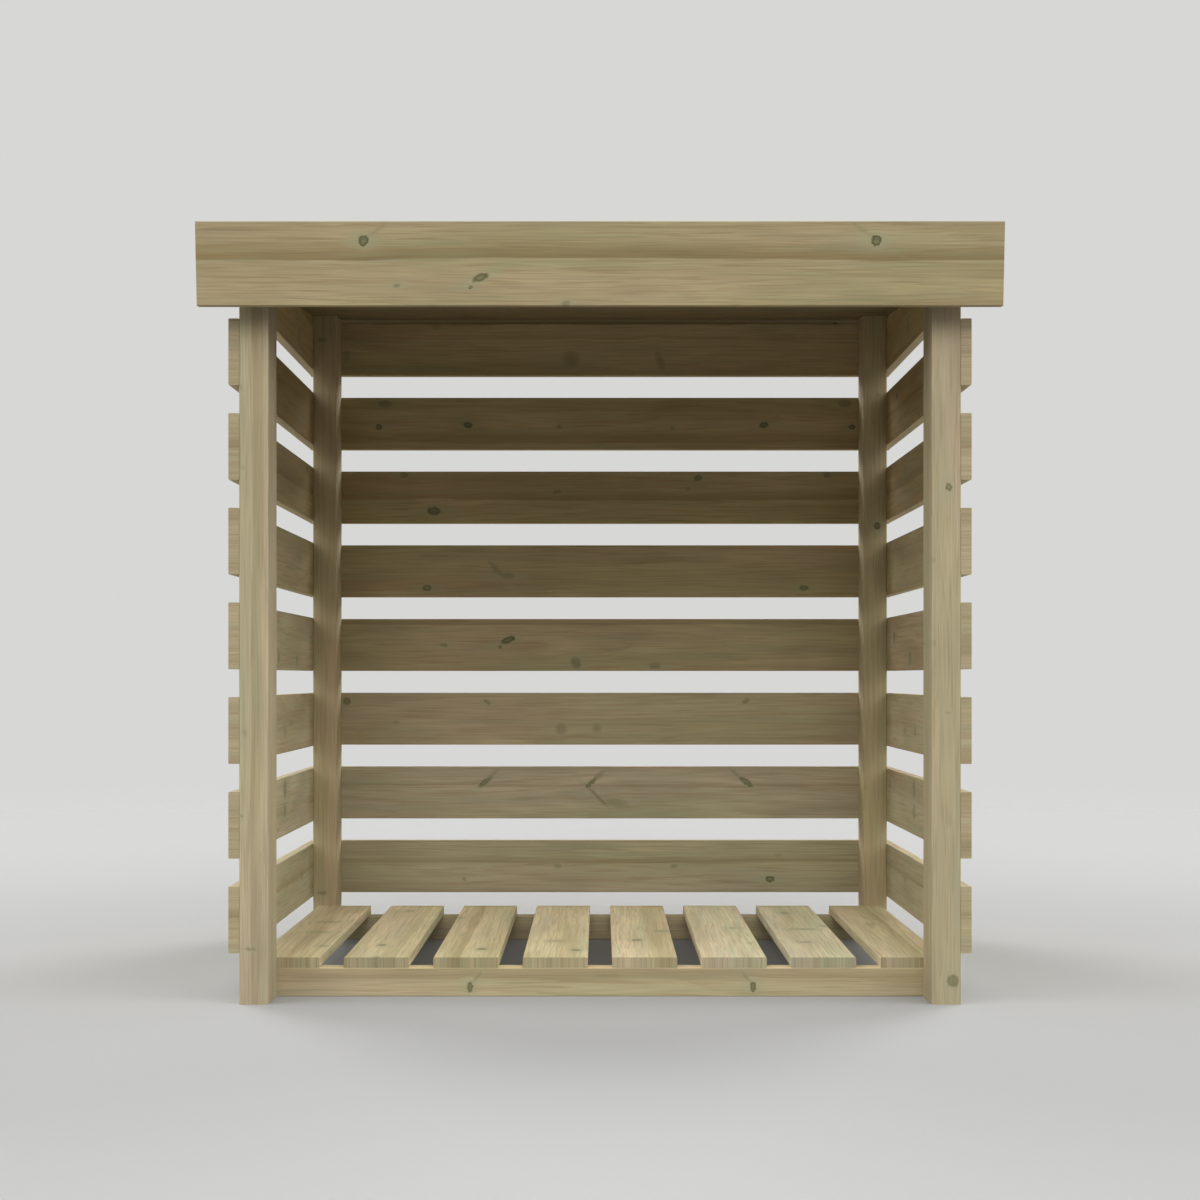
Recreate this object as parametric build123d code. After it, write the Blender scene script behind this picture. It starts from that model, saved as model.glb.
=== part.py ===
"""Log store: an open timber frame with slatted sides, back and floor under a pent roof.

The roof falls to the open front. Millimetres and degrees; +X is the viewer's right, +Y points to the
back and +Z is up. The origin lies on the ground, midway across the width and the depth of the store.
"""
import os
from math import cos, radians, sin, tan

from build123d import *

# Timber sections
post_width = 44.0
post_depth = 70.0
board_height = 100.0
board_thickness = 16.0
bearer_height = 44.0
bearer_thickness = 28.0
slat_width = 100.0
slat_thickness = 16.0
eased_radius = 1.5

# Body
body_width = 1082.4
body_depth = 767.0
wall_board_count = 8
wall_board_gap = 42.0
wall_foot_height = 77.0
slat_count = 8
floor_side_clearance = 9.6

# Roof
roof_pitch = 5.6
roof_wall_clearance = 8.2
roof_side_overhang = 37.8
roof_front_overhang = 29.0
roof_rear_overhang = 40.0
roof_board_count = 9
roof_board_thickness = 16.0
roof_board_gap = 2.0
rafter_width = 44.0
rafter_height = 28.0
fascia_height = 122.5
fascia_thickness = 20.0
fascia_lip = 2.0
rear_fascia_height = 100.0
rear_fascia_thickness = 16.0

# Room that every cut takes beyond the piece it trims
cut_overrun = 50.0

# Places worked out from the sizes above, with the depth counted from the front of the posts
half_body = body_width / 2
wall_board_pitch = board_height + wall_board_gap
wall_top = wall_foot_height + wall_board_pitch * (wall_board_count - 1) + board_height
floor_width = body_width - floor_side_clearance * 2
floor_front = post_depth
floor_rear = body_depth - post_depth
roof_width = body_width + (board_thickness + roof_side_overhang) * 2
half_roof = roof_width / 2
roof_thickness = roof_board_thickness + rafter_height + roof_board_thickness
rear_face = body_depth + board_thickness
roof_run = (roof_front_overhang + rear_face + roof_rear_overhang) / cos(radians(roof_pitch))
roof_drop = (roof_front_overhang + body_depth) * tan(radians(roof_pitch))
roof_start_height = wall_top + roof_wall_clearance - roof_drop
fascia_top = roof_thickness + fascia_lip
fascia_front = (
    -roof_front_overhang
    - fascia_thickness * cos(radians(roof_pitch))
    - fascia_top * sin(radians(roof_pitch))
)
rear_fascia_back = (
    rear_face
    + roof_rear_overhang
    + rear_fascia_thickness * cos(radians(roof_pitch))
    + (rear_fascia_height - roof_thickness) * sin(radians(roof_pitch))
)
depth_centre = (fascia_front + rear_fascia_back) / 2
store_height = (
    roof_start_height
    + (roof_run + rear_fascia_thickness) * sin(radians(roof_pitch))
    + roof_thickness * cos(radians(roof_pitch))
)

# The roof's own frame: X across, Y up the slope from the front edge, Z square to the underside
roof_place = Location((0, -roof_front_overhang - depth_centre, roof_start_height), (roof_pitch, 0, 0))


def depth(from_posts):
    """Depth in the part's frame of a place counted from the front of the posts."""
    return from_posts - depth_centre


def eased_section(plane, width, height):
    """Section of a planed piece with its long edges eased."""
    return plane * RectangleRounded(width, height, eased_radius)


def piece_along_x(centre, length, thickness, height):
    """Planed piece that lies across the store."""
    plane = Plane(origin=(centre[0] - length / 2, centre[1], centre[2]), x_dir=(0, 1, 0), z_dir=(1, 0, 0))
    return extrude(eased_section(plane, thickness, height), amount=length)


def piece_along_y(centre, length, width, height):
    """Planed piece that runs from front to back."""
    plane = Plane(origin=(centre[0], centre[1] - length / 2, centre[2]), x_dir=(-1, 0, 0), z_dir=(0, 1, 0))
    return extrude(eased_section(plane, width, height), amount=length)


def under_roof(piece):
    """The piece with its top cut to the slope of the roof's underside."""
    above = Box(
        roof_width + cut_overrun,
        roof_run + cut_overrun,
        store_height,
        align=(Align.CENTER, Align.CENTER, Align.MIN),
    )
    return piece - roof_place * Pos(0, roof_run / 2, 0) * above


def post(side, front):
    """Post from the ground to the roof, at the left (-1) or right (1), its front face at the given depth."""
    plane = Plane(origin=(side * (half_body - post_width / 2), depth(front + post_depth / 2), 0))
    return under_roof(extrude(eased_section(plane, post_width, post_depth), amount=store_height))


def wall_board_centre_height(row):
    """Height of the middle of a wall board, counted from the lowest row."""
    return wall_foot_height + row * wall_board_pitch + board_height / 2


def side_board(side, row):
    """Side board on the outside of the posts; the roof cuts the highest one to a taper."""
    centre = (
        side * (half_body + board_thickness / 2),
        depth(body_depth / 2),
        wall_board_centre_height(row),
    )
    return under_roof(piece_along_y(centre, body_depth, board_thickness, board_height))


def back_board(row):
    """Back board over the back posts and the ends of the side boards."""
    centre = (0, depth(body_depth + board_thickness / 2), wall_board_centre_height(row))
    return piece_along_x(centre, body_width + board_thickness * 2, board_thickness, board_height)


def bearer(front):
    """Floor bearer on the ground, with its front face at the given depth."""
    centre = (0, depth(front + bearer_thickness / 2), bearer_height / 2)
    return piece_along_x(centre, floor_width, bearer_thickness, bearer_height)


def floor_slat(column):
    """Floor slat across the two bearers, counted from the left."""
    slat_pitch = (floor_width - slat_width) / (slat_count - 1)
    centre = (
        column * slat_pitch + slat_width / 2 - floor_width / 2,
        depth((floor_front + floor_rear) / 2),
        bearer_height + slat_thickness / 2,
    )
    return piece_along_y(centre, floor_rear - floor_front, slat_width, slat_thickness)


def roof_boards(underside):
    """A layer of boards across the roof, with the height of its underside in the roof's frame."""
    pitch = (roof_run + roof_board_gap) / roof_board_count
    width = pitch - roof_board_gap
    layer = []
    for row in range(roof_board_count):
        centre = (0, row * pitch + width / 2, underside + roof_board_thickness / 2)
        layer.append(roof_place * piece_along_x(centre, roof_width, width, roof_board_thickness))
    return Compound(children=layer)


def rafter(centre_across):
    """Rafter between the two layers of roof boards."""
    centre = (centre_across, roof_run / 2, roof_board_thickness + rafter_height / 2)
    return roof_place * piece_along_y(centre, roof_run, rafter_width, rafter_height)


def fascia(middle_up_slope, top, thickness, height):
    """Fascia across the front or rear ends of the roof, square to its slope."""
    centre = (0, middle_up_slope, top - height / 2)
    return roof_place * piece_along_x(centre, roof_width, thickness, height)


nodes = {}
for side_name, side in (("left", -1), ("right", 1)):
    nodes[f"front_post_{side_name}"] = post(side, 0)
    nodes[f"back_post_{side_name}"] = post(side, body_depth - post_depth)
    for row in range(wall_board_count):
        nodes[f"{side_name}_board_{row + 1}"] = side_board(side, row)
for row in range(wall_board_count):
    nodes[f"back_board_{row + 1}"] = back_board(row)
nodes["front_bearer"] = bearer(floor_front)
nodes["rear_bearer"] = bearer(floor_rear - bearer_thickness)
for column in range(slat_count):
    nodes[f"floor_slat_{column + 1}"] = floor_slat(column)
nodes["soffit_boards"] = roof_boards(0)
nodes["rafter_left"] = rafter(rafter_width / 2 - half_roof)
nodes["rafter_middle"] = rafter(0)
nodes["rafter_right"] = rafter(half_roof - rafter_width / 2)
nodes["roof_boards"] = roof_boards(roof_board_thickness + rafter_height)
nodes["front_fascia"] = fascia(-fascia_thickness / 2, fascia_top, fascia_thickness, fascia_height)
nodes["rear_fascia"] = fascia(
    roof_run + rear_fascia_thickness / 2, roof_thickness, rear_fascia_thickness, rear_fascia_height
)

os.makedirs("parts", exist_ok=True)
for name, shape in nodes.items():
    export_step(shape, f"parts/{name}.step")
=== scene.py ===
"""Looks of the log store: planed, pressure-treated softwood on a pale studio floor.

Metres, in the part's own frame: +X is the viewer's right, +Y points to the back wall and +Z is up.
"""

import random
from math import cos, pi, radians, sin

import bmesh
import bpy
from mathutils import Matrix, Vector


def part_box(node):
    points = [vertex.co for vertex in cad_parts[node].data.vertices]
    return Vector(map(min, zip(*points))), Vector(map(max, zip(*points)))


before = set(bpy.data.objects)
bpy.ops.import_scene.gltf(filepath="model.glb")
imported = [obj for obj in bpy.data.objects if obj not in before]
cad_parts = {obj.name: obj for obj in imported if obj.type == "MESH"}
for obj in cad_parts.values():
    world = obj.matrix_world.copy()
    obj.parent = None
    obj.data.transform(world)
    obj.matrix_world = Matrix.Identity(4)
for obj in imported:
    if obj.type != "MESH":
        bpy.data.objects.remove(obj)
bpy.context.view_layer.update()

# The photograph's frame and camera, in its pixels and in metres; the sensor's width is in millimetres
PHOTO_SIZE = 1200
PHOTO_CENTRE = PHOTO_SIZE / 2
HORIZON_PX = 677.0
FOCAL_PX = 1801.0
CAMERA_DISTANCE = 2.7
CAMERA_HEIGHT = 0.4913
SENSOR_WIDTH = 36.0
CAMERA_PLACE = Vector((0.0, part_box("front_post_left")[0].y - CAMERA_DISTANCE, CAMERA_HEIGHT))

# The roof's slope, the pieces that follow it, and the rows of boards in its two layers
ROOF_PITCH = radians(5.6)
ROOF_PIECES = (
    "front_fascia", "rear_fascia", "soffit_boards", "roof_boards",
    "rafter_left", "rafter_middle", "rafter_right",
)
BOARD_ROWS = {"soffit_boards": 9, "roof_boards": 9}

# The way the grain runs, and the way through the main face, for pieces unlike a board across the store
GRAIN_WAYS = {
    "rafter": (0, 1, 0), "left_board": (0, 1, 0), "right_board": (0, 1, 0), "floor_slat": (0, 1, 0),
    "front_post": (0, 0, 1), "back_post": (0, 0, 1),
}
PLAIN_GRAIN_WAY = (1, 0, 0)
FACE_WAYS = {
    "left_board": (1, 0, 0), "right_board": (1, 0, 0), "floor_slat": (0, 0, 1), "rafter": (0, 0, 1),
    "roof_boards": (0, 0, 1), "soffit": (0, 0, 1), "front_post": (0, 1, 0), "back_post": (0, 1, 0),
}
PLAIN_FACE_WAY = (0, -1, 0)

# Timber colours, linear
EARLYWOOD = (0.472, 0.396, 0.238)
LATEWOOD = (0.320, 0.240, 0.122)
HEARTWOOD = (0.310, 0.232, 0.110)
BAND_BROWN = (0.270, 0.198, 0.088)
GREEN_TINT = (0.330, 0.355, 0.218)
OLIVE_CAST = (0.970, 1.000, 0.965)
PINK_CAST = (1.020, 0.992, 1.025)
KNOT_CORE = (0.180, 0.170, 0.076)
KNOT_RIM = (0.058, 0.054, 0.016)
KNOT_HALO = (0.325, 0.340, 0.200)
END_SHADE = (0.61, 0.60, 0.59)

# How strongly the grain shows in whole pieces
CONTRASTS = {"floor_slat": 1.3, "back_post": 0.75, "front_post": 0.85}
PLAIN_CONTRAST = 1.1

# How much darker the sawn ends are, from 0 for like the faces to 1 for the end shade
# On the slats the full end shade is partly real end grain and partly takes their painted light back off the
# sawn ends
END_DARKNESS = {"floor_slat": 1.0}
PLAIN_END_DARKNESS = 0.4

# How pale, dark or green whole pieces are against the rest: partly their own tone, partly painted light and
# shade. The dark soffit, the darker fascia and the browner upper side and back boards are painted shade.
# The pale slats and the lifted top back board are painted light. Wall boards carry it on their inner faces
# alone, as painted shade inside the store.
PAINTED_SHADE_WALL_BOARDS = ("left_board", "right_board", "back_board")
TONES_AND_PAINTED_LIGHT = {
    "front_fascia": (0.84, 0.82, 0.75), "front_bearer": (0.95, 0.94, 0.93),
    "roof_boards": (0.70, 0.70, 0.69), "soffit_boards": (0.43, 0.39, 0.33),
    "front_post_right": (0.88, 0.88, 0.91), "front_post": (0.93, 0.93, 0.98),
    "back_post": (0.96, 0.93, 0.92),
    "back_board_1": (0.85, 0.88, 0.92), "back_board_2": (0.88, 0.91, 1.00),
    "back_board_3": (0.97, 0.95, 0.98), "back_board_4": (0.90, 0.87, 0.82),
    "back_board_5": (0.86, 0.82, 0.75), "back_board_6": (0.92, 0.86, 0.74),
    "back_board_7": (0.97, 0.91, 0.81), "back_board_8": (1.08, 1.05, 0.97),
    "left_board_1": (0.98, 1.03, 1.08), "right_board_1": (0.88, 0.91, 0.92),
    "left_board_2": (1.09, 1.16, 1.25), "right_board_2": (0.92, 0.95, 0.97),
    "left_board_3": (1.12, 1.09, 1.13), "right_board_4": (0.86, 0.82, 0.78),
    "left_board_5": (0.90, 0.87, 0.80), "right_board_5": (0.90, 0.87, 0.80),
    "left_board_6": (0.79, 0.71, 0.55), "right_board_6": (0.79, 0.71, 0.55),
    "left_board_7": (0.82, 0.70, 0.51), "right_board_7": (0.82, 0.70, 0.51),
    "left_board_8": (1.03, 0.96, 0.80), "right_board_8": (1.03, 0.96, 0.80),
    "floor_slat_3": (1.26, 1.28, 1.26), "floor_slat_6": (1.50, 1.60, 1.74),
    "floor_slat_7": (1.44, 1.58, 1.72), "floor_slat": (1.43, 1.46, 1.50),
}
PLAIN_TINT = (1.0, 1.0, 1.0)

# How much paler the upward faces of some pieces are painted, as painted light from above
PAINTED_TOP_LIGHT = {"front_bearer": 1.7}

# Knots and branch marks, read from the photograph. Each one is its place in photo pixels, its half length
# along the grain and half width across it in pixels, its tilt in degrees, and its darkness.
PHOTO_KNOTS = {
    "front_fascia": (
        (363, 240, 5, 5, 0, 1.0), (377, 229, 14, 2.4, 33, 0.3), (480, 277, 8, 3.4, 22, 0.9),
        (470, 287, 2, 1.6, 0, 0.9), (396, 285, 4, 2, 0, 0.6), (566, 303, 4, 3, 0, 0.6),
        (877, 240, 5, 5, 0, 1.0), (863, 229, 14, 2.4, -33, 0.3)),
    "back_board_8": (
        (571, 359, 9, 9, 0, 0.45), (660, 361, 4, 12, 18, 0.45), (347, 356, 4, 6, 0, 0.35),
        (436, 327, 6, 3, 0, 0.35)),
    "back_board_7": (
        (379, 427, 3.2, 2.6, 0, 0.9), (468, 425, 4.5, 2.8, -12, 0.9), (559, 427, 3.5, 2.2, 0, 0.5),
        (672, 428, 2.2, 3, 0, 0.4), (764, 425, 4.5, 2.8, 12, 0.9), (852, 427, 3.2, 2.6, 0, 0.9),
        (385, 404, 7, 3.5, 0, 0.6), (845, 404, 7, 3.5, 0, 0.6)),
    "back_board_6": (
        (434, 511, 6.5, 4, 0, 0.9), (557, 492, 4.5, 2.2, 10, 0.6), (404, 475, 4, 3, 0, 0.6),
        (698, 478, 4, 3, 20, 0.8), (688, 489, 3, 1.6, 20, 0.45), (827, 475, 4, 3, 0, 0.6)),
    "back_board_5": (
        (427, 588, 4.5, 2.8, 0, 0.85), (804, 588, 4.5, 2.8, 0, 0.85), (496, 569, 11, 2.8, -48, 0.5),
        (508, 576, 7, 3.5, 0, 0.5)),
    "back_board_4": (
        (508, 640, 7, 3, 20, 0.95), (500, 647, 2, 1.4, 0, 0.8), (444, 645, 3.5, 2, -8, 0.6),
        (576, 663, 5, 6, 30, 0.65), (655, 666, 6, 3, 0, 0.6)),
    "back_board_3": (
        (347, 701, 4, 4, 0, 0.75), (487, 702, 4, 2, -30, 0.6), (561, 729, 6, 6, 0, 0.45),
        (597, 728, 5, 5, 0, 0.45), (746, 701, 4, 2.2, 30, 0.6), (396, 722, 3.5, 1.6, 0, 0.45)),
    "back_board_2": (
        (485, 782, 8, 2.6, 36, 0.75), (492, 775, 10, 2.2, 42, 0.4), (591, 783, 7, 2.0, 42, 0.8),
        (597, 777, 11, 2.2, 42, 0.45), (598, 797, 14, 1.8, -44, 0.6), (616, 803, 13, 5, -10, 0.45),
        (746, 782, 8, 2.6, -36, 0.8), (737, 775, 10, 2.2, -42, 0.4)),
    "back_board_1": (
        (770, 879, 4.5, 2.8, 0, 0.95), (558, 866, 4, 2.4, -10, 0.5), (674, 866, 4, 2.4, 10, 0.5),
        (464, 879, 2.2, 2.2, 0, 0.5), (778, 855, 5, 2.4, 0, 0.3)),
    "front_bearer": (
        (470, 987, 3, 5, 0, 0.9), (753, 987, 3, 5, 0, 0.9), (477, 977, 9, 1.8, 50, 0.38),
        (746, 977, 9, 1.8, -50, 0.38), (608, 976, 16, 1.6, 0, 0.3)),
    "rear_bearer": ((610, 928, 4, 3, 0, 0.2), (690, 926, 5, 3, 0, 0.2)),
    "front_post_left": (
        (250, 949, 1.8, 6, 0, 0.55), (245, 733, 5, 3.5, 0, 0.3), (241, 388, 3, 2.2, 0, 0.35),
        (243, 467, 4, 2.2, 0, 0.25), (242, 816, 2, 1.8, 0, 0.5)),
    "front_post_right": (
        (949, 487, 3.8, 3.2, 0, 0.85), (934, 560, 3.5, 2.2, 0, 0.35), (934, 643, 4, 2.6, 0, 0.35),
        (948, 713, 1.6, 4, 0, 0.35), (953, 981, 6.2, 5.8, 0, 0.75), (950, 820, 9, 2.5, 0, 0.25)),
    "back_post_left": ((322, 340, 2.5, 5, 0, 0.5), (322, 893, 2, 5.5, 0, 0.55)),
    "back_post_right": ((877, 526, 3.2, 3, 0, 0.9), (878, 395, 2.6, 2, 0, 0.4)),
    "left_board_8": ((299, 335, 8, 8, 0, 0.45),),
    "right_board_8": ((908, 325, 8, 8, 0, 0.45),),
    "left_board_6": ((307, 469, 8, 4, 0, 0.65),),
    "right_board_6": ((905, 470, 10, 5, 0, 0.4),),
    "right_board_5": ((893, 565, 9, 7, 0, 0.35),),
    "left_board_4": ((279, 658, 6, 6, 0, 0.55), (297, 660, 7, 5, 0, 0.55)),
    "right_board_4": ((894, 637, 8, 5, 0, 0.65), (910, 658, 7, 7, 0, 0.65)),
    "left_board_3": ((285, 731, 9, 7, 0, 0.4), (291, 724, 16, 2.5, 0, 0.35)),
    "right_board_3": ((905, 731, 9, 6, 0, 0.4), (915, 731, 8, 6, 0, 0.45)),
    "left_board_2": ((285, 789, 9, 9, -14, 0.6), (285, 810, 8, 7, 14, 0.55)),
    "right_board_2": (
        (914, 789, 9, 9, 14, 0.6), (914, 812, 8, 7, -14, 0.55), (890, 784, 7, 5, 0, 0.4)),
    "left_board_1": ((302, 876, 7, 4.5, 0, 0.45),),
    "right_board_1": ((905, 880, 7, 4.5, 0, 0.4),),
    "floor_slat_1": (
        (330, 922, 4, 14, 0, 0.5), (320, 932, 4, 12, 0, 0.5), (324, 946, 4, 5, 0, 0.55)),
    "floor_slat_2": (
        (410, 911, 5, 4, 0, 0.6), (382, 945, 5, 4.5, 0, 0.75), (376, 957, 4, 4, 0, 0.5)),
    "floor_slat_3": (
        (482, 949, 5, 5, 0, 0.85), (460, 918, 4, 4, 0, 0.5), (462, 935, 4, 4, 0, 0.4)),
    "floor_slat_4": ((556, 941, 4, 9, 0, 0.5), (576, 950, 5, 4.5, 0, 0.8)),
    "floor_slat_5": ((637, 940, 5, 5, 0, 0.8), (662, 931, 4, 8, 0, 0.55)),
    "floor_slat_6": ((735, 928, 4, 7, 0, 0.45), (750, 943, 4, 4, 0, 0.4)),
    "floor_slat_7": (
        (785, 913, 5, 5, 0, 0.6), (803, 929, 4, 13, 0, 0.6), (805, 942, 4, 7, 0, 0.6),
        (822, 926, 6, 6, 0, 0.45)),
    "floor_slat_8": ((872, 924, 4, 6, 0, 0.4),),
}

# Broad brown bands along the grain, read from the photograph: a pixel on the band, the band's half width in
# pixels, and its darkness
PHOTO_BANDS = {
    "front_fascia": (600, 251, 7, 0.85), "back_board_7": (600, 436, 6, 0.5),
    "back_board_6": (600, 494, 5, 0.65), "back_board_4": (600, 622, 3, 0.6),
    "back_board_1": (600, 860, 3, 0.5), "floor_slat_2": (408, 930, 6, 0.35),
    "floor_slat_3": (468, 930, 6, 0.6), "floor_slat_8": (890, 930, 5, 0.5),
    "left_board_6": (295, 478, 6, 0.6), "right_board_6": (905, 478, 6, 0.55),
    "left_board_1": (295, 877, 3, 0.5), "right_board_1": (905, 875, 3, 0.5),
}

# What chance draws for a piece: knots where the photograph shows none, its place in the noise, its pith,
# a brown band, and how pale it is. Ranges are in metres, radians, or shares of the piece's size. A layer of
# boards gets the knots of three boards, and each of its rows is a step further in the noise.
DRAW_SEED = 11
KNOT_SPACING = 0.30
KNOT_ROWS = 3
KNOTS_ALONG = (-0.48, 0.48)
KNOTS_ACROSS = (-0.42, 0.42)
KNOT_RADII = (0.003, 0.007)
KNOT_STRETCHES = (1.0, 1.5)
KNOT_TILTS = (-0.4, 0.4)
KNOT_DARKNESSES = (0.45, 1.0)
NOISE_PLACES = (5.0, 60.0)
PITH_ACROSS = (-0.04, 0.04)
PITH_DEPTHS = (0.012, 0.060)
BANDS_ACROSS = (-0.4, 0.4)
BAND_HALF_WIDTHS = (0.003, 0.009)
BAND_DARKNESSES = (0.0, 0.5)
PALENESSES = (0.96, 1.04)
ROW_STEP = (3.7, 5.3, 2.9)

# Noise in the timber: cycles a metre along the grain and across it, detail, and roughness
SWAY_ACROSS = (1.5, 5.0, 0.0, 0.5)
SWAY_THROUGH = (1.1, 7.0, 0.0, 0.5)
MOTTLE = (5.0, 26.0, 1.0, 0.6)
FINE_GRAIN = (7.0, 300.0, 1.0, 0.7)
STREAKS = (0.7, 26.0, 1.0, 0.55)
GREEN_STREAKS = (3.2, 80.0, 1.0, 0.6)
BLUSH = (2.0, 13.0, 0.0, 0.5)
FIBRE = (14.0, 620.0, 0.0, 0.5)
NOISE_MIDDLE = 0.5

# Noise levels at which each mark starts to show and shows in full
STREAK_LEVELS = (0.47, 0.72)
LINE_LEVELS = (0.52, 0.66)
GREEN_LEVELS = (0.52, 0.76)
BLUSH_LEVELS = (0.32, 0.68)

# How much of its colour each mark gives; the grain's three are late wood, streaks and fine lines
GRAIN_SHARES = (0.48, 0.34, 0.40)
BAND_SHARE = 0.90
GREEN_SHARE = 0.34
HALO_SHARE = 0.40
CORE_SHARE = 0.95
RIM_SHARE = 0.85

# Growth rings: how far the stem wavers and the fine grain ripples in metres, how far the fine grain moves a
# ring, counted in rings, and the power that keeps late wood to a ring's edge
RINGS_A_METRE = 130.0
STEM_WAVER = (0.0, 0.030, 0.060)
GRAIN_RIPPLE = 0.009
RING_SHIFT = 0.4
LATENESS = 4.0

# A brown band: its waver in metres, and where it comes in and ends, in half widths from its middle
BAND_WAVER = 0.010
BAND_RISE = (-1.6, 0.7)
BAND_EDGE = (0.86, 1.10)

# What mottle and fibre do: two levels of the noise and the value at each one, and how much paler and darker
# mottle makes its places
RING_STRENGTH = (0.3, 0.7, 0.15, 1.0)
FIBRE_SHADE = (0.3, 0.7, 0.93, 1.07)
KNOT_FIBRE = (0.35, 0.65, 0.0, 0.4)
FIBRE_ROUGHNESS = (0.25, 0.75, 0.70, 0.84)
UNEVENNESS = 0.42

# The surface: knots are smoother than the rest, and the fibre stands up a little
KNOT_SMOOTHNESS = 0.16
SPECULAR_LEVEL = 0.3
BUMP_DEPTH = 0.00025
BUMP_STRENGTH = 0.35

# A knot, in half lengths and half widths from its middle: where the darkest one's core starts to fade,
# where every core ends, and where the rim and the halo run. A knot of the faint darkness or less fades from
# its middle on. The halo is longer along the grain, and the grain bends more gently the higher the ease is.
FAINT_KNOT = 0.3
CRISP_CORE = 0.72
CORE_END = 1.30
RIM_RUN = (0.40, 0.90)
HALO_RUN = (0.6, 2.6)
HALO_SHAPE = (0.45, 1.0, 1.0)
BEND_EASE = 0.9

# A knot goes right through its piece. Its outline wobbles by these metres, at these cycles a metre.
KNOT_THROUGH = 1000.0
KNOT_WOBBLE = (0.0042, 0.0036, 0.0)
KNOT_WOBBLE_RATE = (190.0, 230.0, 230.0)

# Cosines at which a face starts to count, and fully counts, as a sawn end, an inner face or a top
SAWN_TURN = (0.75, 0.95)
INNER_TURN = (0.5, 0.9)
TOP_TURN = (0.2, 0.8)

# Studio: a pale floor that fades into a pale background. The camera sees a paler floor than the one that
# light bounces from, and that one is paler beside the store than under it. Distances are in metres.
FLOOR_SEEN = (0.40, 0.40, 0.395)
FLOOR_BOUNCE = (0.20, 0.20, 0.20)
SIDE_BOUNCE = (0.38, 0.38, 0.38)
BESIDE = (0.56, 0.80)
FLOOR_ROUGHNESS = 0.9
FLOOR_SPECULAR_LEVEL = 0.1
FLOOR_RADIUS = 7.0
FLOOR_SEGMENTS = 96
FADE = (1.5, 6.0)
BACKGROUND = (0.68, 0.68, 0.67)
WORLD_LIGHT = (1.0, 1.0, 1.0)
GROUND_LIGHT = 0.01
SKY_LIGHT = 0.04
HORIZON = (-0.1, 0.3)

# A ring of broad soft lights. Each one has its azimuth from the front and its elevation in degrees, and its
# strength. A light that isn't in the middle has a twin on the other side.
LIGHT_SPREAD = radians(36.0)
LIGHTS = {
    "key": (0, 35, 1.05), "key_low": (0, 15, 0.06),
    "front": (45, 42, 0.68), "front_low": (45, 18, 0.28),
    "side": (80, 40, 0.72), "side_low": (80, 15, 0.64),
    "rear": (135, 30, 2.10),
}


def value_for(name, values, plain):
    """The value of the first kind that the piece's name starts with, or the plain one."""
    return next((value for start, value in values.items() if name.startswith(start)), plain)


class Tree:
    """Short calls that add shader nodes and join them."""

    # A Mix node's colour sockets, which come after its sockets for numbers and vectors
    MIX_COLOURS = (6, 7)
    MIXED_COLOUR = 2

    def __init__(self, tree):
        self.tree = tree

    def node(self, kind, **settings):
        made = self.tree.nodes.new(kind)
        for name, value in settings.items():
            setattr(made, name, value)
        return made

    def feed(self, socket, value):
        """Link the socket to another one, or set its own value."""
        if isinstance(value, bpy.types.NodeSocket):
            self.tree.links.new(value, socket)
        else:
            socket.default_value = value

    def feed_all(self, sockets, values):
        for socket, value in zip(sockets, values):
            self.feed(socket, value)

    def math(self, operation, *values):
        made = self.node("ShaderNodeMath", operation=operation)
        self.feed_all(made.inputs, values)
        return made.outputs[0]

    def vector(self, operation, *values):
        made = self.node("ShaderNodeVectorMath", operation=operation)
        self.feed_all(made.inputs, values)
        return made.outputs["Value" if operation in ("LENGTH", "DOT_PRODUCT") else "Vector"]

    def scale(self, vector, amount):
        made = self.node("ShaderNodeVectorMath", operation="SCALE")
        self.feed(made.inputs["Vector"], vector)
        self.feed(made.inputs["Scale"], amount)
        return made.outputs["Vector"]

    def split(self, vector):
        made = self.node("ShaderNodeSeparateXYZ")
        self.feed(made.inputs[0], vector)
        return made.outputs[0], made.outputs[1], made.outputs[2]

    def join(self, x, y, z):
        made = self.node("ShaderNodeCombineXYZ")
        self.feed_all(made.inputs, (x, y, z))
        return made.outputs[0]

    def noise(self, vector, detail=0.0, roughness=0.5, output="Fac"):
        made = self.node("ShaderNodeTexNoise")
        self.feed(made.inputs["Vector"], vector)
        made.inputs["Scale"].default_value = 1.0
        made.inputs["Detail"].default_value = detail
        made.inputs["Roughness"].default_value = roughness
        return made.outputs[output]

    def span(self, value, low, high, to_low=0.0, to_high=1.0, smooth=True):
        """The value carried from one span to another, and held at its ends."""
        made = self.node("ShaderNodeMapRange", interpolation_type="SMOOTHSTEP" if smooth else "LINEAR")
        self.feed_all(made.inputs, (value, low, high, to_low, to_high))
        return made.outputs[0]

    def mix(self, amount, first, second, blend="MIX"):
        made = self.node("ShaderNodeMix", data_type="RGBA", blend_type=blend)
        self.feed(made.inputs[0], amount)
        for socket, value in zip(self.MIX_COLOURS, (first, second)):
            linked = isinstance(value, bpy.types.NodeSocket)
            self.feed(made.inputs[socket], value if linked else (*value, 1.0))
        return made.outputs[self.MIXED_COLOUR]

    def mix_shaders(self, amount, first, second):
        made = self.node("ShaderNodeMixShader")
        self.feed_all(made.inputs, (amount, first, second))
        return made.outputs[0]


def new_group(name, inputs, outputs):
    """A node group with its sockets, its builder, and its input and output nodes."""
    group = bpy.data.node_groups.new(name, "ShaderNodeTree")
    for socket_name, kind in inputs.items():
        group.interface.new_socket(socket_name, in_out="INPUT", socket_type=f"NodeSocket{kind}")
    for socket_name, kind in outputs.items():
        group.interface.new_socket(socket_name, in_out="OUTPUT", socket_type=f"NodeSocket{kind}")
    tree = Tree(group)
    return group, tree, tree.node("NodeGroupInput").outputs, tree.node("NodeGroupOutput").inputs


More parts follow.
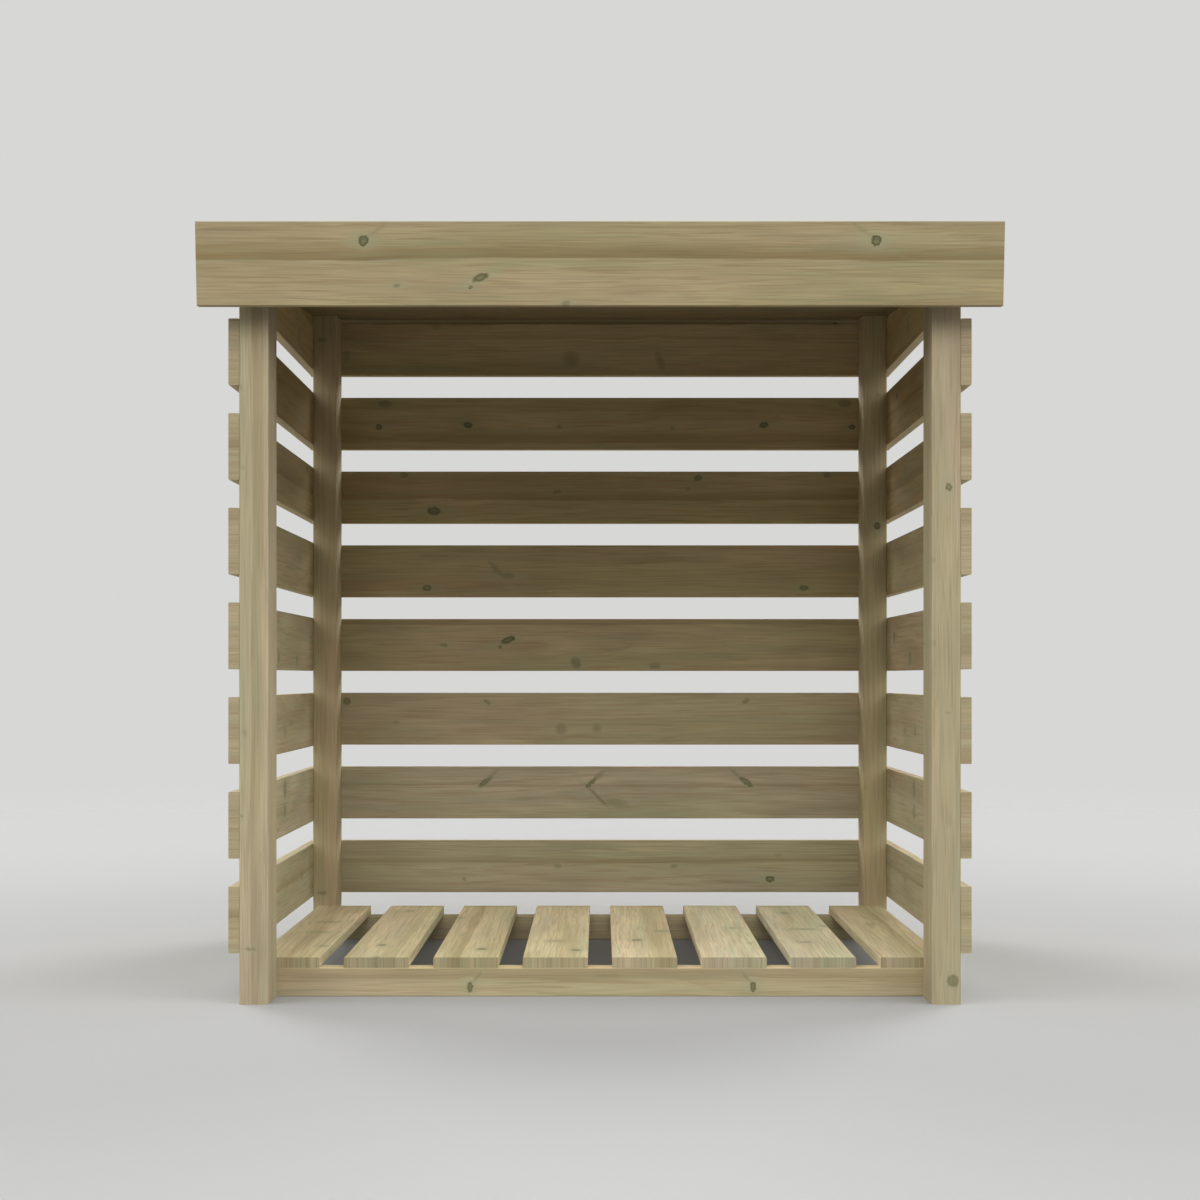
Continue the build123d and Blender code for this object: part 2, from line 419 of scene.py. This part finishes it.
def make_knot_group():
    """One knot or branch mark: it darkens its place, and the grain flows round it."""
    group, t, given, out = new_group(
        "knot",
        {"Vector": "Vector", "Place": "Vector", "Turn": "Vector", "Size": "Vector", "Strength": "Float",
         "Shift": "Float", "Marks": "Vector"},
        {"Shift": "Float", "Marks": "Vector"},
    )
    mapping = t.node("ShaderNodeMapping", vector_type="TEXTURE")
    sources = {"Vector": "Vector", "Location": "Place", "Rotation": "Turn", "Scale": "Size"}
    for socket, source in sources.items():
        t.feed(mapping.inputs[socket], given[source])
    own = mapping.outputs[0]
    near = t.vector("LENGTH", own)
    drawn_out = t.vector("LENGTH", t.vector("MULTIPLY", own, HALO_SHAPE))
    strength = given["Strength"]
    crisp = t.span(strength, FAINT_KNOT, 1.0, 0.0, CRISP_CORE, smooth=False)
    core = t.math("MULTIPLY", strength, t.span(near, crisp, CORE_END, 1.0, 0.0))
    rim = t.math("MULTIPLY", t.math("MULTIPLY", core, strength), t.span(near, *RIM_RUN))
    halo = t.math("MULTIPLY", strength, t.span(drawn_out, *HALO_RUN, 1.0, 0.0))
    t.feed(out["Marks"], t.vector("MAXIMUM", given["Marks"], t.join(core, rim, halo)))
    aside = t.math("MULTIPLY", t.split(own)[1], t.split(given["Size"])[1])
    reach = t.math("ADD", t.math("MULTIPLY", near, near), BEND_EASE)
    bend = t.math("MULTIPLY", t.math("DIVIDE", aside, reach), strength)
    t.feed(out["Shift"], t.math("ADD", given["Shift"], bend))
    return group


def stretched(t, start, along, across, detail, roughness):
    """Noise drawn out along the grain, from 0 to 1."""
    return t.noise(t.vector("MULTIPLY", start, (along, across, across)), detail, roughness)


def late_wood(t, bent, pith, sway_across, sway_through, fine, mottle):
    """Late wood at the edge of each growth ring round the pith, with the waver of a real stem."""
    waver = t.vector("MULTIPLY", t.join(0.0, sway_across, sway_through), STEM_WAVER)
    from_pith = t.vector("SUBTRACT", t.vector("ADD", bent, waver), pith)
    reach = t.vector("LENGTH", t.vector("MULTIPLY", from_pith, (0.0, 1.0, 1.0)))
    rings = t.math("MULTIPLY", reach, RINGS_A_METRE)
    ring = t.math("ADD", rings, t.math("MULTIPLY", fine, RING_SHIFT))
    late = t.math("POWER", t.math("FRACT", ring), LATENESS)
    return t.math("MULTIPLY", late, t.span(mottle, *RING_STRENGTH))


def brown_band(t, bent, band, sway_across):
    """A brown band along the grain that darkens towards one sharp edge."""
    middle, half_width, darkness = t.split(band)
    middle = t.math("ADD", middle, t.math("MULTIPLY", sway_across, BAND_WAVER))
    below = t.math("DIVIDE", t.math("SUBTRACT", middle, t.split(bent)[1]), half_width)
    shape = t.math("MULTIPLY", t.span(below, *BAND_RISE), t.span(below, *BAND_EDGE, 1.0, 0.0))
    return t.math("MULTIPLY", shape, darkness)


def make_timber_group():
    """Softwood in grain space: X along the grain, Y across the face, Z through the piece."""
    group, t, given, out = new_group(
        "planed_timber",
        {"Vector": "Vector", "Seed": "Vector", "Pith": "Vector", "Band": "Vector", "Shift": "Float",
         "Marks": "Vector", "End": "Float", "Tint": "Vector", "Contrast": "Float"},
        {"Color": "Color", "Roughness": "Float", "Height": "Float"},
    )
    contrast = given["Contrast"]
    bent = t.vector("SUBTRACT", given["Vector"], t.join(0.0, given["Shift"], 0.0))
    place = t.vector("ADD", bent, given["Seed"])
    sway_across = t.math("SUBTRACT", stretched(t, place, *SWAY_ACROSS), NOISE_MIDDLE)
    sway_through = t.math("SUBTRACT", stretched(t, place, *SWAY_THROUGH), NOISE_MIDDLE)
    mottle = stretched(t, place, *MOTTLE)
    ripple = t.math("MULTIPLY", mottle, GRAIN_RIPPLE)
    fine = stretched(t, t.vector("ADD", place, t.join(0.0, ripple, ripple)), *FINE_GRAIN)
    fibre = stretched(t, t.vector("ADD", given["Vector"], given["Seed"]), *FIBRE)

    # Colour: early and late wood, streaks, fine lines, a band, and the treatment's green cast
    late = late_wood(t, bent, given["Pith"], sway_across, sway_through, fine, mottle)
    streak = t.span(stretched(t, place, *STREAKS), *STREAK_LEVELS)
    line = t.span(fine, *LINE_LEVELS)
    shares = t.vector("MULTIPLY", t.join(late, streak, line), GRAIN_SHARES)
    late, streak, line = t.split(t.scale(shares, contrast))
    band = brown_band(t, bent, given["Band"], sway_across)
    green = t.span(stretched(t, place, *GREEN_STREAKS), *GREEN_LEVELS)
    blush = t.span(stretched(t, place, *BLUSH), *BLUSH_LEVELS)
    colour = t.mix(late, EARLYWOOD, LATEWOOD)
    colour = t.mix(streak, colour, HEARTWOOD)
    colour = t.mix(line, colour, LATEWOOD)
    colour = t.mix(t.math("MULTIPLY", band, BAND_SHARE), colour, BAND_BROWN)
    colour = t.mix(t.math("MULTIPLY", green, GREEN_SHARE), colour, GREEN_TINT)
    colour = t.mix(1.0, colour, t.mix(blush, OLIVE_CAST, PINK_CAST), "MULTIPLY")

    # Paler and darker places, the piece's own tone with its painted light and shade, knots, and sawn ends
    patchiness = t.math("MULTIPLY", contrast, UNEVENNESS)
    uneven = t.math("MULTIPLY", t.math("SUBTRACT", mottle, NOISE_MIDDLE), patchiness)
    shade = t.math("MULTIPLY", t.math("ADD", uneven, 1.0), t.span(fibre, *FIBRE_SHADE, smooth=False))
    colour = t.mix(1.0, colour, t.scale(given["Tint"], shade), "MULTIPLY")
    core, rim, halo = t.split(given["Marks"])
    colour = t.mix(t.math("MULTIPLY", halo, HALO_SHARE), colour, KNOT_HALO)
    heart = t.mix(t.span(fibre, *KNOT_FIBRE), KNOT_CORE, KNOT_RIM)
    colour = t.mix(t.math("MULTIPLY", core, CORE_SHARE), colour, heart)
    colour = t.mix(t.math("MULTIPLY", rim, RIM_SHARE), colour, KNOT_RIM)
    t.feed(out["Color"], t.mix(given["End"], colour, t.mix(1.0, colour, END_SHADE, "MULTIPLY")))

    # Surface: planed fibre, a little smoother on knots
    rough = t.span(fibre, *FIBRE_ROUGHNESS)
    t.feed(out["Roughness"], t.math("SUBTRACT", rough, t.math("MULTIPLY", core, KNOT_SMOOTHNESS)))
    t.feed(out["Height"], fibre)
    return group


KNOT = make_knot_group()
TIMBER = make_timber_group()


class Grain:
    """A piece's grain space, from its middle: along the grain, across the main face and through it."""

    def __init__(self, name):
        low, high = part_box(name)
        self.middle = (low + high) / 2
        size = high - low
        along = Vector(value_for(name, GRAIN_WAYS, PLAIN_GRAIN_WAY))
        through = Vector(value_for(name, FACE_WAYS, PLAIN_FACE_WAY))
        across = through.cross(along)
        self.length, self.width, self.thickness = (abs(size.dot(way)) for way in (along, across, through))
        slope = Matrix.Rotation(ROOF_PITCH, 3, "X") if name in ROOF_PIECES else Matrix.Identity(3)
        self.along, self.across, self.through = slope @ along, slope @ across, slope @ through
        to_camera = self.through.dot(CAMERA_PLACE - self.middle)
        self.seen_face = self.through if to_camera > 0.0 else -self.through

    def turn(self):
        """How grain space is turned in the part's frame."""
        return Matrix((self.along, self.across, self.through)).transposed().to_euler()

    def from_photo(self, x, y):
        """Where a photo pixel falls on the seen face: along the grain, across it, and the pixel's size."""
        sight = Vector(((x - PHOTO_CENTRE) / FOCAL_PX, 1.0, (HORIZON_PX - y) / FOCAL_PX))
        face = self.middle + self.seen_face * (self.thickness / 2)
        away = self.through.dot(face - CAMERA_PLACE) / self.through.dot(sight)
        offset = CAMERA_PLACE + sight * away - self.middle
        return offset.dot(self.along), offset.dot(self.across), away / FOCAL_PX


def seen_knots(name, grain):
    """Knots at the photograph's places: place along and across, half length, half width, tilt, darkness."""
    for x, y, half_length, half_width, tilt, strength in PHOTO_KNOTS.get(name, ()):
        along, across, pixel = grain.from_photo(x, y)
        yield along, across, half_length * pixel, half_width * pixel, radians(tilt), strength


def chance_knots(grain, draw, spacing):
    """Knots for what the photograph doesn't show, about one for each spacing of the piece's length."""
    for _ in range(max(1, round(grain.length / spacing))):
        along = draw.uniform(*KNOTS_ALONG) * grain.length
        across = draw.uniform(*KNOTS_ACROSS) * grain.width
        radius = draw.uniform(*KNOT_RADII)
        half_length = radius * draw.uniform(*KNOT_STRETCHES)
        yield along, across, half_length, radius, draw.uniform(*KNOT_TILTS), draw.uniform(*KNOT_DARKNESSES)


def chance_band(grain, draw):
    """A brown band for what the photograph doesn't show: place across, half width, darkness."""
    across = draw.uniform(*BANDS_ACROSS) * grain.width
    return across, draw.uniform(*BAND_HALF_WIDTHS), draw.uniform(*BAND_DARKNESSES)


def seen_band(name, grain):
    """The brown band at the photograph's place: place across, half width, darkness."""
    x, y, half_width, darkness = PHOTO_BANDS[name]
    _, across, pixel = grain.from_photo(x, y)
    return across, half_width * pixel, darkness


def add_knots(t, place, knots):
    """A chain of knots, which gives the grain's shift aside and the knots' marks."""
    wobble = t.noise(t.vector("MULTIPLY", place, KNOT_WOBBLE_RATE), output="Color")
    wobble = t.vector("SUBTRACT", wobble, (NOISE_MIDDLE, NOISE_MIDDLE, NOISE_MIDDLE))
    ragged = t.vector("ADD", place, t.vector("MULTIPLY", wobble, KNOT_WOBBLE))
    shift, marks = 0.0, (0.0, 0.0, 0.0)
    for along, across, half_length, half_width, tilt, strength in knots:
        knot = t.node("ShaderNodeGroup", node_tree=KNOT)
        values = {
            "Vector": ragged, "Place": (along, across, 0.0), "Turn": (0.0, 0.0, tilt),
            "Size": (half_length, half_width, KNOT_THROUGH), "Strength": strength,
            "Shift": shift, "Marks": marks,
        }
        for socket, value in values.items():
            t.feed(knot.inputs[socket], value)
        shift, marks = knot.outputs["Shift"], knot.outputs["Marks"]
    return shift, marks


def part_rows(t, name, place, seed, rows):
    """Grain space and noise place of each board by itself, in a layer of boards."""
    pitch = (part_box(name)[1].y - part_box(name)[0].y) / cos(ROOF_PITCH) / rows
    x, y, z = t.split(place)
    row = t.math("FLOOR", t.math("DIVIDE", t.math("ADD", y, pitch * rows / 2), pitch))
    middle = t.math("MULTIPLY", t.math("SUBTRACT", row, (rows - 1) / 2), pitch)
    step = t.vector("MULTIPLY", t.join(row, row, row), ROW_STEP)
    return t.join(x, t.math("SUBTRACT", y, middle), z), t.vector("ADD", seed, step)


def paint_light_on_faces(t, name, grain, normal, tone_and_painted_light):
    """The tone and painted light on the faces that have it: painted shade on the wall boards' inner faces
    alone, and some upward faces paler with painted light.
    """
    if name.startswith(PAINTED_SHADE_WALL_BOARDS):
        # Painted shade: the wall boards' tint goes on their inner faces alone
        inward = t.vector("DOT_PRODUCT", normal, tuple(grain.seen_face))
        tone_and_painted_light = t.mix(t.span(inward, *INNER_TURN), PLAIN_TINT, tone_and_painted_light)
    if name in PAINTED_TOP_LIGHT:
        # Painted light: upward faces made paler
        upward = t.split(normal)[2]
        tone_and_painted_light = t.scale(tone_and_painted_light, t.span(upward, *TOP_TURN, 1.0, PAINTED_TOP_LIGHT[name]))
    return tone_and_painted_light


def timber_material(name, draw):
    """A planed timber finish of its own for one piece, with the grain along it."""
    grain = Grain(name)
    rows = BOARD_ROWS.get(name, 1)
    spacing = KNOT_SPACING / min(rows, KNOT_ROWS)
    knots = list(seen_knots(name, grain)) or list(chance_knots(grain, draw, spacing))
    seed = tuple(draw.uniform(*NOISE_PLACES) for _ in range(3))
    pith = (0.0, draw.uniform(*PITH_ACROSS), -draw.uniform(*PITH_DEPTHS))
    band = chance_band(grain, draw)
    if name in PHOTO_BANDS:
        band = seen_band(name, grain)
    # The piece's tint: its own tone mixed with painted light and shade, which stand in for the light it
    # gets
    tone_and_painted_light = Vector(value_for(name, TONES_AND_PAINTED_LIGHT, PLAIN_TINT)) * draw.uniform(*PALENESSES)

    material = bpy.data.materials.new(f"timber_{name}")
    material.use_nodes = True
    t = Tree(material.node_tree)
    where = t.node("ShaderNodeTexCoord")
    normal = where.outputs["Normal"]
    mapping = t.node("ShaderNodeMapping", vector_type="TEXTURE")
    mapping.inputs["Location"].default_value = grain.middle
    mapping.inputs["Rotation"].default_value = grain.turn()
    t.feed(mapping.inputs["Vector"], where.outputs["Object"])
    place = mapping.outputs[0]
    shift, marks = add_knots(t, place, knots)
    if rows > 1:
        place, seed = part_rows(t, name, place, seed, rows)

    # A sawn end shows the grain's lines straight through the piece
    facing = t.vector("DOT_PRODUCT", normal, tuple(grain.along))
    sawn = t.span(t.math("ABSOLUTE", facing), *SAWN_TURN)
    place = t.vector("MULTIPLY", place, t.join(1.0, 1.0, t.math("SUBTRACT", 1.0, sawn)))

    timber = t.node("ShaderNodeGroup", node_tree=TIMBER)
    values = {
        "Vector": place, "Seed": seed, "Pith": pith, "Band": band, "Shift": shift, "Marks": marks,
        "End": t.math("MULTIPLY", sawn, value_for(name, END_DARKNESS, PLAIN_END_DARKNESS)),
        "Tint": paint_light_on_faces(t, name, grain, normal, tone_and_painted_light),
        "Contrast": value_for(name, CONTRASTS, PLAIN_CONTRAST),
    }
    for socket, value in values.items():
        t.feed(timber.inputs[socket], value)
    bump = t.node("ShaderNodeBump")
    bump.inputs["Strength"].default_value = BUMP_STRENGTH
    bump.inputs["Distance"].default_value = BUMP_DEPTH
    t.feed(bump.inputs["Height"], timber.outputs["Height"])
    shader = material.node_tree.nodes["Principled BSDF"]
    shader.inputs["Specular IOR Level"].default_value = SPECULAR_LEVEL
    t.feed(shader.inputs["Base Color"], timber.outputs["Color"])
    t.feed(shader.inputs["Roughness"], timber.outputs["Roughness"])
    t.feed(shader.inputs["Normal"], bump.outputs[0])
    return material


def dress_timber():
    """Give every CAD node its own timber finish."""
    draw = random.Random(DRAW_SEED)
    for name in sorted(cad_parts):
        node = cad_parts[name]
        node.data.materials.clear()
        node.data.materials.append(timber_material(name, draw))


def seen_directly(t):
    """1 for what the camera sees, also in a reflection or through glass; 0 for light that bounces."""
    path = t.node("ShaderNodeLightPath")
    mirrored = t.math("MAXIMUM", path.outputs["Is Glossy Ray"], path.outputs["Is Transmission Ray"])
    return t.math("MAXIMUM", path.outputs["Is Camera Ray"], mirrored)


def floor_material():
    """A matt pale floor that fades away far from the store."""
    material = bpy.data.materials.new("studio_floor")
    material.use_nodes = True
    t = Tree(material.node_tree)
    shader = material.node_tree.nodes["Principled BSDF"]
    shader.inputs["Roughness"].default_value = FLOOR_ROUGHNESS
    shader.inputs["Specular IOR Level"].default_value = FLOOR_SPECULAR_LEVEL
    place = t.node("ShaderNodeTexCoord").outputs["Object"]
    beside = t.span(t.math("ABSOLUTE", t.split(place)[0]), *BESIDE)
    bounce = t.mix(beside, FLOOR_BOUNCE, SIDE_BOUNCE)
    t.feed(shader.inputs["Base Color"], t.mix(seen_directly(t), bounce, FLOOR_SEEN))
    fade = t.span(t.vector("LENGTH", place), *FADE)
    clear = t.node("ShaderNodeBsdfTransparent")
    faded = t.mix_shaders(fade, shader.outputs[0], clear.outputs[0])
    t.feed(material.node_tree.nodes["Material Output"].inputs["Surface"], faded)
    return material


def make_floor():
    """The studio's round floor, level with the ground under the posts."""
    mesh = bpy.data.meshes.new("studio_floor")
    shape = bmesh.new()
    bmesh.ops.create_circle(shape, cap_ends=True, radius=FLOOR_RADIUS, segments=FLOOR_SEGMENTS)
    shape.to_mesh(mesh)
    shape.free()
    mesh.materials.append(floor_material())
    floor = bpy.data.objects.new("studio_floor", mesh)
    bpy.context.scene.collection.objects.link(floor)


def make_world():
    """A pale background for the camera, and a faint even light for the store."""
    world = bpy.data.worlds.new("studio")
    world.use_nodes = True
    bpy.context.scene.world = world
    t = Tree(world.node_tree)
    up = t.split(t.node("ShaderNodeTexCoord").outputs["Generated"])[2]
    lit = world.node_tree.nodes["Background"]
    lit.inputs["Color"].default_value = (*WORLD_LIGHT, 1.0)
    t.feed(lit.inputs["Strength"], t.span(up, *HORIZON, GROUND_LIGHT, SKY_LIGHT))
    seen = t.node("ShaderNodeBackground")
    seen.inputs["Color"].default_value = (*BACKGROUND, 1.0)
    joined = t.mix_shaders(seen_directly(t), lit.outputs[0], seen.outputs[0])
    t.feed(world.node_tree.nodes["World Output"].inputs["Surface"], joined)


def far_softbox(name, azimuth, elevation, strength):
    """A broad light far off; azimuth 0 is in front, and positive is to the viewer's right."""
    data = bpy.data.lights.new(name, "SUN")
    data.energy = strength
    data.angle = LIGHT_SPREAD
    light = bpy.data.objects.new(name, data)
    turn, rise = radians(azimuth), radians(elevation)
    toward = Vector((sin(turn) * cos(rise), -cos(turn) * cos(rise), sin(rise)))
    light.rotation_euler = toward.to_track_quat("Z", "Y").to_euler()
    bpy.context.scene.collection.objects.link(light)


def make_lights():
    """The ring of lights, with the twins of those that aren't in the middle."""
    for name, (azimuth, elevation, strength) in LIGHTS.items():
        far_softbox(name, azimuth, elevation, strength)
        if azimuth:
            far_softbox(f"{name}_twin", -azimuth, elevation, strength)


def make_camera():
    """The photograph's camera, level and square to the front, with its horizon below the middle."""
    data = bpy.data.cameras.new("photo_camera")
    data.sensor_width = SENSOR_WIDTH
    data.lens = FOCAL_PX / PHOTO_SIZE * SENSOR_WIDTH
    data.shift_y = (HORIZON_PX - PHOTO_CENTRE) / PHOTO_SIZE
    camera = bpy.data.objects.new("photo_camera", data)
    camera.location = CAMERA_PLACE
    camera.rotation_euler = (pi / 2, 0.0, 0.0)
    bpy.context.scene.collection.objects.link(camera)
    bpy.context.scene.camera = camera


dress_timber()
make_floor()
make_world()
make_lights()
make_camera()
bpy.context.scene.view_settings.view_transform = "Standard"
